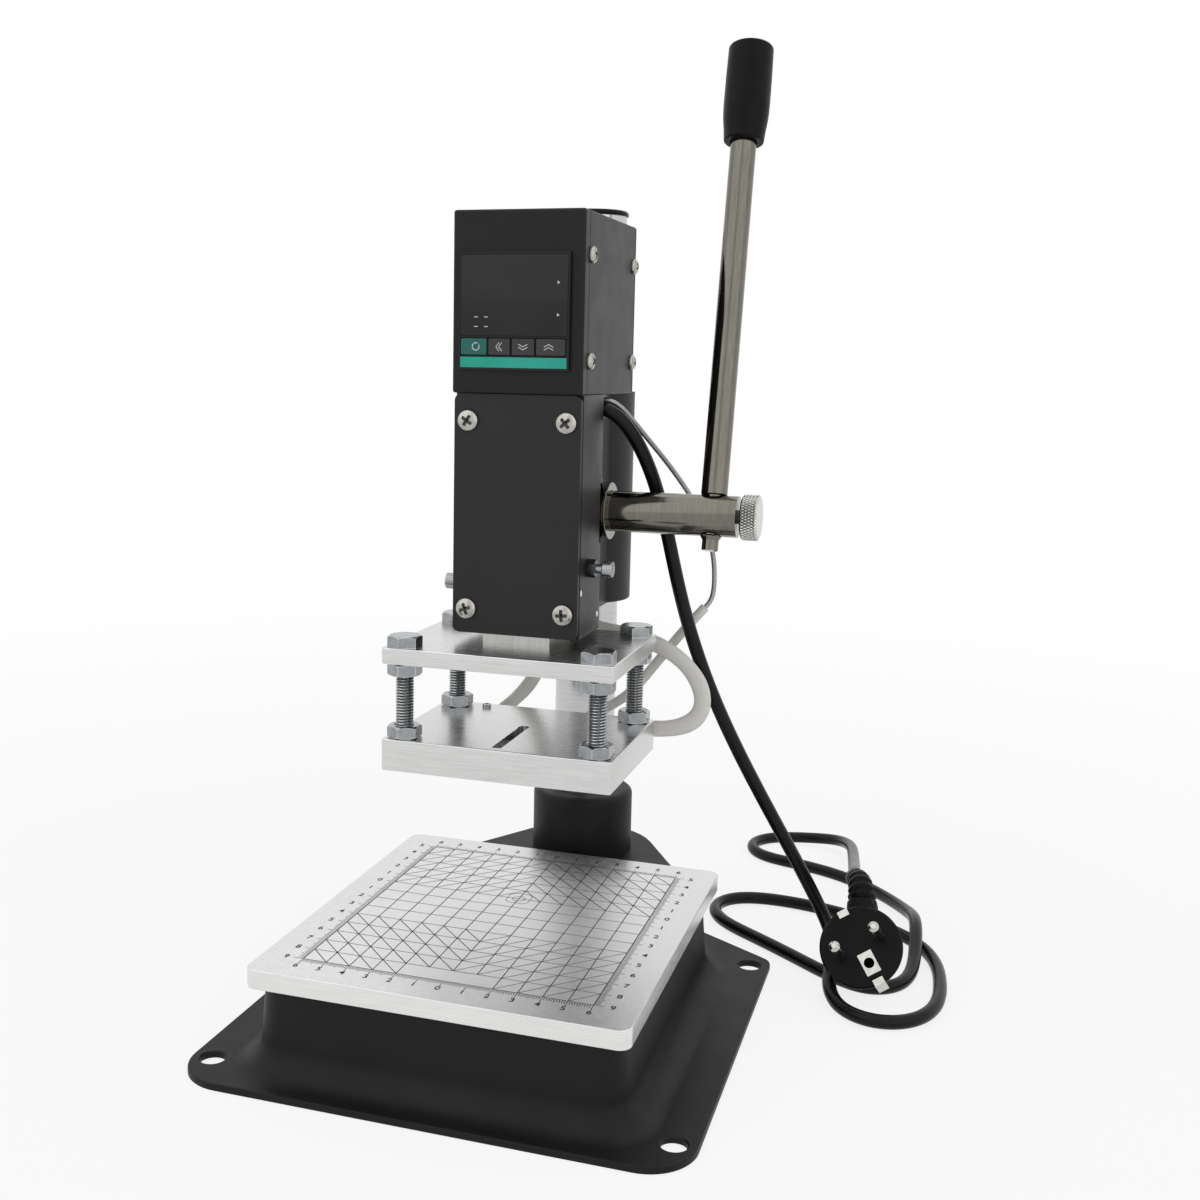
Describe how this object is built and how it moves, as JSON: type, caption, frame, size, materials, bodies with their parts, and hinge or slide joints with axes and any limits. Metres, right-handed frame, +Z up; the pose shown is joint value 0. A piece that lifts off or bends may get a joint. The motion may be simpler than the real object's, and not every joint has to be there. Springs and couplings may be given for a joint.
{
  "type": "hot foil stamping machine",
  "caption": "Bench hot foil stamping press with a ruled bed plate, column, lever-driven rack ram, bolted heating plate, temperature controller box and a mains lead with plug.",
  "frame": {"origin": "middle of the four mounting holes, on the surface that the base stands on", "axes": "+X towards the lever, +Y from the front to the column, +Z up"},
  "size_m": [0.2873, 0.3736, 0.4254],
  "materials": {
    "black_enamel": "satin black enamel",
    "box_paint": "fine matt black powder coat",
    "ruled_aluminium": "satin, ruled print",
    "plate_aluminium": "milled",
    "column_steel": "ground",
    "black_steel": "black oxide",
    "zinc_steel": "zinc plated",
    "gib_brass": "ground",
    "controller_plastic": "matt",
    "display_gloss": "gloss",
    "key_teal": "printed film",
    "key_grey": "printed film",
    "turned_steel": "polished",
    "black_plastic": "half gloss",
    "ram_steel": "ground",
    "heater_steel": "drawn",
    "steel_braid": "woven",
    "glass_sleeve": "woven glass sleeve",
    "terminal_plastic": "moulded",
    "cord_rubber": "half gloss",
    "nickel_brass": "nickel plated"
  },
  "bodies": {
    "frame": {"base": "black_enamel", "head_housing": "black_enamel", "front_cover": "black_enamel", "box_front": "box_paint", "box_shell": "box_paint", "box_back": "box_paint", "bed_plate": "ruled_aluminium", "column": "column_steel", "column_set_screws": "black_steel", "head_clamp_screws": "black_steel", "bed_plate_screws": "zinc_steel", "front_cover_screws": "zinc_steel", "box_screws": "zinc_steel", "gib_screw": "zinc_steel", "gib_lock_nut": "zinc_steel", "ram_stop_screw": "zinc_steel", "gib_set_screws": "zinc_steel", "box_mount_screws": "zinc_steel", "side_gib": "gib_brass", "controller_body": "controller_plastic", "controller_clamp": "controller_plastic", "display_lens": "display_gloss", "controller_strip": "key_teal", "shaft_bush_right": "turned_steel", "shaft_bush_left": "turned_steel", "column_cap": "black_plastic", "plug_body": "black_plastic", "plug_relief": "black_plastic", "thermocouple_cable": "steel_braid", "thermocouple_sleeve": "glass_sleeve", "heater_lead_left": "glass_sleeve", "heater_lead_right": "glass_sleeve", "terminal_block": "terminal_plastic", "cord_grommet": "cord_rubber", "power_cord": "cord_rubber", "plug_pins": "nickel_brass", "plug_earth": "nickel_brass"},
    "lever": {"pinion_shaft": "turned_steel", "shaft_retaining_ring": "black_steel", "lever_rod": "turned_steel", "lever_nut": "turned_steel", "lever_grip": "black_plastic"},
    "thumb": {"thumb_screw": "turned_steel"},
    "ram_head": {"ram": "ram_steel", "ram_screws": "black_steel", "upper_plate": "plate_aluminium", "plate_bolts": "zinc_steel", "upper_nuts": "zinc_steel", "lower_nuts": "zinc_steel", "heating_plate": "plate_aluminium", "cartridge_heaters": "heater_steel", "heater_set_screws": "zinc_steel", "thermocouple_probe": "heater_steel"},
    "set_key": {"key_set": "key_teal"},
    "shift_key": {"key_shift": "key_grey"},
    "down_key": {"key_down": "key_grey"},
    "up_key": {"key_up": "key_grey"}
  },
  "joints": [
    {"name": "lever_turn", "type": "hinge", "parent": "frame", "child": "lever", "pos_m": [0, 0.052, 0.2172], "axis": [1, 0, 0], "range_deg": [0, 120]},
    {"name": "ram_slide", "type": "slide", "parent": "frame", "child": "ram_head", "axis": [0, 0, -1], "range_m": [0, 0.0221], "deforming": ["heater_lead_left", "heater_lead_right", "thermocouple_sleeve", "thermocouple_cable"]},
    {"name": "thumb_screw_turn", "type": "hinge", "parent": "lever", "child": "thumb", "pos_m": [0.09, 0.052, 0.2172], "axis": [1, 0, 0], "continuous": true},
    {"name": "key_set_press", "type": "slide", "parent": "frame", "child": "set_key", "axis": [0, 1, 0], "range_m": [0, 0.0008], "stiffness_N_per_m": 600},
    {"name": "key_shift_press", "type": "slide", "parent": "frame", "child": "shift_key", "axis": [0, 1, 0], "range_m": [0, 0.0008], "stiffness_N_per_m": 600},
    {"name": "key_down_press", "type": "slide", "parent": "frame", "child": "down_key", "axis": [0, 1, 0], "range_m": [0, 0.0008], "stiffness_N_per_m": 600},
    {"name": "key_up_press", "type": "slide", "parent": "frame", "child": "up_key", "axis": [0, 1, 0], "range_m": [0, 0.0008], "stiffness_N_per_m": 600}
  ],
  "couplings": [
    {"joint": "ram_slide", "follows": "lever_turn", "m_per_rad": 0.0105}
  ]
}
